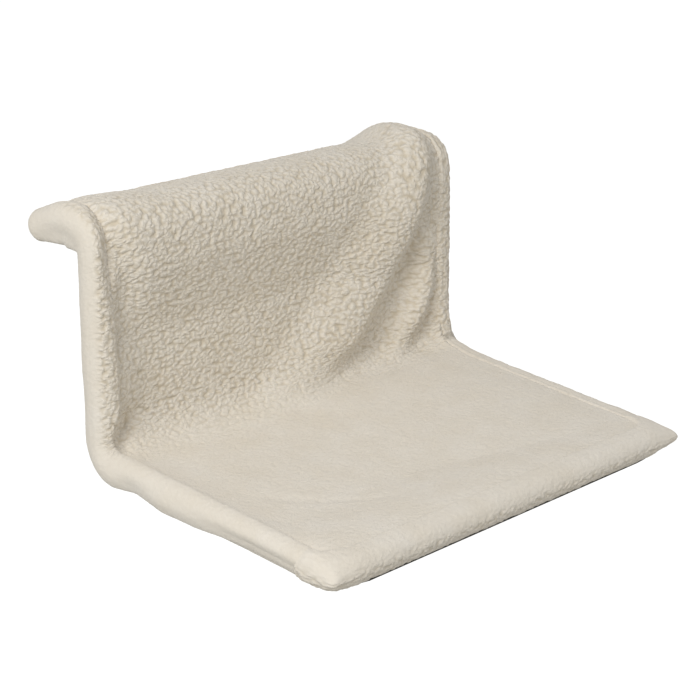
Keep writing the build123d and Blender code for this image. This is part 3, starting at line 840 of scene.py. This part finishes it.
def wing_radius(runs, centre, outward):
    """The rings' radii, with the round roll and the boxed wing blended, and slim at the front."""
    on_hook = (outward[:, 1] > 0.05) & (centre[:, 1] > 0)
    deep = np.where(on_hook, centre[:, 1] / np.maximum(outward[:, 1], 0.05), roll_radius)
    deep = deep - wing_clearance * smooth(centre[:, 0], 5 * mm, 18 * mm)
    deep = np.maximum(deep * (0.62 + 0.38 * smooth(runs, 0, 20 * mm)), roll_radius * 0.9)[:, None]
    facing = np.maximum(np.cos(around), 1e-6)
    sideways = np.maximum(np.abs(np.sin(around)), 1e-6)
    box = (facing / deep) ** wing_squareness + (sideways / wing_half_width) ** wing_squareness
    box = np.where(np.cos(around) > 0, box ** (-1 / wing_squareness), 0)
    radius = (roll_radius ** roll_blend + box ** roll_blend) ** (1 / roll_blend)
    return radius - slimming * smooth(runs, side_line.length - 9 * mm, side_line.length)[:, None]


def side_sleeve(name, side, pull_ends):
    """A side sleeve, -1 left or 1 right."""
    runs = np.arange(0, side_line.length, ring_step)
    centre, outward = side_line.at(runs)
    radius = wing_radius(runs, centre, outward)
    lower_outside = smooth(np.sin(around), -0.1, 0.4) * smooth(np.cos(around), -0.5, 0.3)
    low = smooth(-centre[:, 1], 80 * mm, 130 * mm)[:, None]
    flare = np.zeros_like(low)
    if side < 0:
        radius = radius + np.interp(centre[:, :1], *left_wave.T) * low * lower_outside
    else:
        flare = corner_flare(crease_corner[0] - centre[:, :1]) * low
    radius = radius * np.sqrt(np.clip(1 - (1 - np.clip(runs / tip_dome, 0, 1)) ** 2, 0.0004, 1))[:, None]
    down = np.interp(runs, side_line.runs[np.maximum.accumulate(nearest)], panel_line.runs - ridge_run)
    pull_end = np.interp(down, [150 * mm, 260 * mm], pull_ends)[:, None]
    pulled = (1 - smooth(np.sin(around), -0.55, pull_end)) * smooth(-np.cos(around), -0.2, 0.4)
    lift = roll_lift(side, down)[:, None] * (1 - np.cos(around)) / 2
    lift = lift + np.interp(down, *seam_pull[side].T)[:, None] * pulled
    outer = side_rings(side, runs, around, radius, lift, flare)
    runs_inside = np.linspace(8 * mm, side_line.length - ring_step, 70)
    inside = np.full((len(runs_inside), len(around_inside)), bore_radius)
    inner = side_rings(side, runs_inside, around_inside, inside, 0 * inside, 0 * inside)
    curly = (1 - smooth(np.sin(around), 0.5, 0.92)) * (1 - smooth(np.cos(around), 0.1, 0.6))
    depth = np.clip(pile_depth(down, 0.35) - smooth_pile, 0, 1)
    relief = smooth_pile + depth[:, None] * curly[None, :]
    places = np.stack(np.broadcast_arrays(roll_radius * around[None, :], runs[:, None]), axis=-1)
    return sock(name, outer, inner, places, relief, True)


left_sleeve = side_sleeve("left_side_sleeve_cloth", -1, (0.8, 0.0))
right_sleeve = side_sleeve("right_side_sleeve_cloth", 1, (0.1, -0.25))
apply_tree(left_sleeve, curly_pile, {"Cloth": pile_cloth, "Swell Height": 1.0 * mm})
apply_tree(right_sleeve, curly_pile, {"Cloth": pile_cloth, "Swell Height": 2.2 * mm, "Swell Size": 20 * mm})
print("side sleeves:", len(left_sleeve.data.polygons), "faces each,", round(side_line.length, 4), "m long")

# %% [markdown]
# The front sleeve is the roll round the front bar. The tube bends round the corners of the seat,
# but the cloth is sewn square, so a flat point of cloth stands out at each corner. A ring's
# outer side reaches to the sewn outline: the nearer of its side wall and its front wall, with a
# soft change between them. The right point reaches further out than the left one, as
# photographed. At both ends the front seam's pull runs over into that of the side seam.

# %% Front sleeve
corner_radius = 21.7 * mm
tail = 28 * mm
tube_line = BentLine(
    [
        (-half_width, tail - seat_depth), (-half_width, -seat_depth),
        (half_width, -seat_depth), (half_width, tail - seat_depth),
    ],
    [corner_radius] * 2,
)
bend = tail + corner_radius * (math.pi / 2 - 1)
places_along = np.concatenate([
    np.linspace(0, bend, 44, endpoint=False),
    np.linspace(bend, tube_line.length - bend, 200, endpoint=False),
    np.linspace(tube_line.length - bend, tube_line.length, 45),
])
left_sharpness = 7.0
right_sharpness = 9.0
pull_places = [4 * mm, 22 * mm, tube_line.length - 22 * mm, tube_line.length - 4 * mm]
pull_heights = [-3 * mm, front_pull, front_pull, 2.7 * mm]


def sewn_reach(centre, outward):
    """How far the sewn outline stands from the tube's middle, straight outwards."""
    right = centre[:, 0] > 0
    wall = half_width + roll_radius + np.where(right, corner_flare(-centre[:, 1]), 0)
    to_side = (wall - np.abs(centre[:, 0])) / np.maximum(np.abs(outward[:, 0]), 1e-4)
    to_front = (seat_depth + roll_radius + centre[:, 1]) / np.maximum(-outward[:, 1], 1e-4)
    sharp = np.where(right, right_sharpness, left_sharpness)
    return ((to_side / mm) ** -sharp + (to_front / mm) ** -sharp) ** (-1 / sharp) * mm


def front_rings(along, angles, radius, reach):
    """Rings of the front roll, slimmer where they leave the side sleeves; reach is their outer side."""
    centre, outward = tube_line.at(along)
    from_end = np.minimum(along, tube_line.length - along)
    slim = slimming * (1 - smooth(from_end, 0, 7 * mm))[:, None]
    pull = np.interp(along, pull_places, pull_heights)[:, None]
    radius = radius - slim
    reach = reach[:, None] - slim
    out = np.maximum(np.cos(angles), 0) ** 1.5
    aside = radius * np.cos(angles) + (reach - radius) * out
    flat = centre[:, None, :] + outward[:, None, :] * aside[..., None]
    thin = 1 - flattening * np.clip((reach - radius) / full_flare, 0, 1) * out
    up = radius * np.sin(angles) * thin
    up = up + pull * smooth(-np.cos(angles), 0, 0.5) * smooth(np.sin(angles), 0.1, 0.6)
    spot = crease_corner - seat_direction * flat[..., 1:] + seat_normal * up[..., None]
    return np.stack([flat[..., 0], spot[..., 0], spot[..., 1]], axis=-1)


outer = front_rings(places_along, around, roll_radius, sewn_reach(*tube_line.at(places_along)))
along_inside = np.linspace(0, tube_line.length, 100)
inner = front_rings(along_inside, around_inside, bore_radius, np.full(100, bore_radius))
tufted = smooth(np.cos(around), 0.2, 0.7) * smooth(-np.sin(around), -0.45, 0.15)
relief = np.broadcast_to(0.2 + 0.55 * tufted, outer.shape[:2])
from_inside = np.mod(around + math.pi, 2 * math.pi)
places = np.stack(np.broadcast_arrays(places_along[:, None], roll_radius * from_inside[None, :]), axis=-1)
front_sleeve = sock("front_sleeve_cloth", outer, inner, places, relief, False)
apply_tree(front_sleeve, curly_pile, {"Cloth": pile_cloth, "Pile Height": 1.6 * mm})
print("front sleeve:", len(front_sleeve.data.polygons), "faces,", round(tube_line.length, 4), "m long")

# %% [markdown]
# The rear edge band closes the cover between the two hook tips with a strip of the same cloth.
# It stands straight across the end of the arms, and its pile is flatter than the panel's.

# %% Rear edge band
band_reach = hook_reach + 6.2 * mm
band_line = BentLine([hook_point(band_reach, 14.3 * mm), hook_point(band_reach, -11.1 * mm)], [])


def band_relief(across, run):
    """An even pile."""
    return np.full(across.shape, 0.7)


band = cloth_strip(
    "rear_edge_band_cloth", band_line, panel_half_width, 7.7 * mm, (200, 16), relief=band_relief,
)
apply_tree(band, curly_pile, {"Cloth": pile_cloth, "Swell Height": 0.5 * mm})
print("rear band:", len(band.data.polygons), "faces")

# %% [markdown]
# Behind and below, thin lining cloth closes the cover. The seat lining is a shallow tray: it
# starts as a flap behind the back, turns under the seat, widens, and hugs the underside of the
# rolls. Its rim is the thin dark line under the front edge. The two tapes of the touch closure
# lie between the flap and the back lining.

# %% Linings and closure
lining_thickness = 0.8 * mm
back_depth = 10.7 * mm
lining_depth = 12.9 * mm
under_radius = roll_radius + 0.9 * mm
flap_height = 72 * mm
flap_half_width = 206 * mm
tray_bend = 56.9 * mm
tray_half_width = half_width + under_radius * math.cos(math.radians(72))
tray_end = seat_depth + under_radius * math.cos(math.radians(50))
front_rounding = 24 * mm
corner_lift = 5 * mm

tray_corner = crease_corner_at(lining_depth)
tray_line = BentLine(
    [(tray_corner[0], crease_corner[1] + flap_height), tray_corner, seat_point(tray_end, -lining_depth)],
    [tray_bend],
)


def tray_spread(run):
    """The flap is narrower than the tray under the seat, and the tray's front corners are rounded."""
    widened = 1 + (tray_half_width / flap_half_width - 1) * smooth(run, 90 * mm, 160 * mm)
    return widened - 0.09 * np.clip(1 - (tray_line.length - run) / front_rounding, 0, 1) ** 2


def under_roll(beyond):
    """The lining's depth by how far out it lies from a tube's middle."""
    depth = np.sqrt(under_radius ** 2 - np.clip(beyond, 0, under_radius) ** 2)
    return lining_depth + (depth - lining_depth) * smooth(beyond, -16 * mm, 0)


def tray_rise(across, run):
    """The tray's rim comes up round the outside of the rolls, and higher at the front corners."""
    forward = tray_end - (tray_line.length - run)
    aside = np.abs(across)
    depth = np.minimum(under_roll(aside - half_width), under_roll(forward - seat_depth))
    cornered = smooth(aside, 0.85 * half_width, half_width) * smooth(forward, 0.88 * seat_depth, seat_depth)
    wave = np.interp(crease_corner[0] - forward, *left_wave.T)
    depth = depth + np.minimum(wave, 0) * smooth(-across, 0.86 * half_width, 0.98 * half_width)
    depth = depth - corner_lift * cornered
    return (lining_depth - depth) * smooth(run, 100 * mm, 160 * mm)


back_corner = top_corner_at(-back_depth)
back_lining_line = BentLine(
    [
        hook_point(hook_reach + cloth_overhang, -back_depth), back_corner,
        (back_corner[0], crease_corner[1] + 46 * mm),
    ],
    [top_bend - back_depth],
)
back_lining = cloth_strip("back_lining_cloth", back_lining_line, flap_half_width, lining_thickness, (120, 60))
seat_lining = cloth_strip(
    "seat_lining_cloth", tray_line, flap_half_width, lining_thickness, (160, 160),
    tray_rise, spread=tray_spread,
)
tapes = []
for name, depth in (("closure_loop_tape_cloth", 11.45 * mm), ("closure_hook_tape_cloth", 12.15 * mm)):
    edges = [(tube_y + depth, crease_corner[1] + height) for height in (68 * mm, 48 * mm)]
    tapes.append(cloth_strip(name, BentLine(edges, []), 191.7 * mm, 0.7 * mm, (120, 8)))
for piece in (back_lining, seat_lining):
    piece.data.materials.append(lining_cloth)
for piece in tapes:
    piece.data.materials.append(closure_tape)
print("linings are", round(back_lining_line.length, 3), "and", round(tray_line.length, 3), "m long")

# %% [markdown]
# The closure's tape is sewn to the flap with two rows of stitches, and a third row holds the hem
# under the seat. Stitches repeat along a line, so Geometry Nodes place them: the line becomes
# points a stitch apart, each point carries a short thread, and the copies become real meshes.

# %% Stitches
stitching, sizes = start_tree("stitch_row", {
    "Pitch": 4.0 * mm, "Stitch Length": 3.0 * mm, "Thread Thickness": 0.5 * mm,
}, "Thread")
tree = stitching
seam = add_node(tree, "GeometryNodeMeshToCurve", {"Mesh": sizes["Geometry"]})
spots = add_node(tree, "GeometryNodeCurveToPoints", {"Curve": seam, "Length": sizes["Pitch"]}, mode="LENGTH")
thin = calculate(tree, "MULTIPLY", sizes["Thread Thickness"], 0.5)
thread = add_node(tree, "GeometryNodeMeshCylinder", {
    "Vertices": 8, "Side Segments": 2, "Radius": thin, "Depth": sizes["Stitch Length"],
})
copies = add_node(tree, "GeometryNodeInstanceOnPoints", {
    "Points": spots, "Instance": thread, "Rotation": spots.outputs["Rotation"],
})
end_tree(tree, copies, sizes["Thread"])

flap_face = tube_y + lining_depth + lining_thickness / 2
hem_place = seat_point(120 * mm, -lining_depth - lining_thickness / 2)
stitch_rows = [
    ("upper_tape_stitches", 188 * mm, (flap_face, crease_corner[1] + 66 * mm)),
    ("lower_tape_stitches", 188 * mm, (flap_face, crease_corner[1] + 50 * mm)),
    ("seat_hem_stitches", 196 * mm, tuple(hem_place)),
]
stitch_pieces = []
for name, reach, (y, z) in stitch_rows:
    row_mesh = bpy.data.meshes.new(name)
    row_mesh.from_pydata([(-reach, y, z), (reach, y, z)], [(0, 1)], [])
    row = add_object(name, row_mesh)
    apply_tree(row, stitching, {"Thread": sewing_thread})
    stitch_pieces.append(row)
print("stitches:", [len(row.data.polygons) for row in stitch_pieces], "faces")

# %% [markdown]
# The stage is a plain pale floor well below the bed, because the bed hangs. The key lamp stands
# high on the left, so the outer faces are the brightest, the seat comes next and the back last,
# as photographed. A weak fill comes from the front, with an even pale surround. The background
# is white only to the camera and to reflections, so it puts no extra light on the cloth.

# %% Floor and light
floor_level = -0.62
floor_mesh = bpy.data.meshes.new("floor")
floor_corners = [(-6, -6, floor_level), (6, -6, floor_level), (6, 6, floor_level), (-6, 6, floor_level)]
floor_mesh.from_pydata(floor_corners, [], [(0, 1, 2, 3)])
floor = add_object("floor", floor_mesh)
floor_paint, tree, shader = new_material("plain_pale_floor", {
    "Base Color": colour("#C9C9C6"), "Roughness": 0.9, "Emission Color": (1, 1, 1, 1),
})


def seen_directly(tree):
    """1 for rays from the camera and through reflections or glass, and 0 for light on the bed."""
    rays = add_node(tree, "ShaderNodeLightPath").outputs
    seen = rays["Is Camera Ray"]
    for kind in ("Is Glossy Ray", "Is Transmission Ray"):
        seen = calculate(tree, "MAXIMUM", seen, rays[kind])
    return seen


lift = calculate(tree, "MULTIPLY", seen_directly(tree), 0.75)
connect(tree, shader, {"Emission Strength": lift})
floor_mesh.materials.append(floor_paint)
floor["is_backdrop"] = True

world = bpy.data.worlds.new("pale_surround")
bpy.context.scene.world = world
world.use_nodes = True
tree = world.node_tree
level = add_node(tree, "ShaderNodeMapRange", {"Value": seen_directly(tree), "To Min": 0.43, "To Max": 1.0})
connect(tree, tree.nodes["Background"], {"Color": (1, 1, 1, 1), "Strength": level})


def area_lamp(name, place, target, size, power):
    """A soft square lamp at a place, turned to a target."""
    data = bpy.data.lights.new(name, "AREA")
    data.shape = "SQUARE"
    data.size = size
    data.energy = power
    lamp = add_object(name, data)
    lamp.location = place
    lamp.rotation_mode = "QUATERNION"
    lamp.rotation_quaternion = (Vector(target) - Vector(place)).to_track_quat("-Z", "Y")


bed_middle = (0, -0.12, -0.08)
area_lamp("key_lamp", (-2.2, -0.95, 1.42), bed_middle, 1.1, 43)
area_lamp("fill_lamp", (0.6, -2.4, 1.2), bed_middle, 1.8, 9)
bpy.context.scene.view_settings.view_transform = "Standard"
print("stage and lamps set")

# %% [markdown]
# Last, every piece hangs from the root, and the frame's part that each cloth piece stands for is hidden.
# The new model's bounds are measured and kept beside the frame's.

# %% Pieces on the root, and sizes
cloth_pieces = [
    (panel, "pile_cloth", (0.4154, 0.5345), ["top_cross_tube", "seat_hoop"]),
    (left_sleeve, "pile_cloth", (0.072, 0.543), ["left_side_tube"]),
    (right_sleeve, "pile_cloth", (0.072, 0.543), ["right_side_tube"]),
    (front_sleeve, "pile_cloth", (0.068, 0.5), ["seat_hoop"]),
    (band, "pile_cloth", (0.0254, 0.4154), ["sherpa_panel_cloth"]),
    (back_lining, "lining_cloth", (0.412, 0.18), ["left_side_tube", "right_side_tube"]),
    (seat_lining, "lining_cloth", (0.449, 0.341), ["seat_hoop"]),
    (tapes[0], "closure_tape", (0.02, 0.3834), ["back_lining_cloth"]),
    (tapes[1], "closure_tape", (0.02, 0.3834), ["seat_lining_cloth"]),
]
for piece, slot, flat, rests_on in cloth_pieces:
    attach(piece, "root")
    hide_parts(piece.name.removesuffix("_cloth"))
for row in stitch_pieces:
    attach(row, "root")

new_low, new_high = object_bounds()
sizes = {"cad": [list(cad_low), list(cad_high)], "visual": [list(new_low), list(new_high)]}
print("visual model measures", [round(v, 4) for v in new_high - new_low])
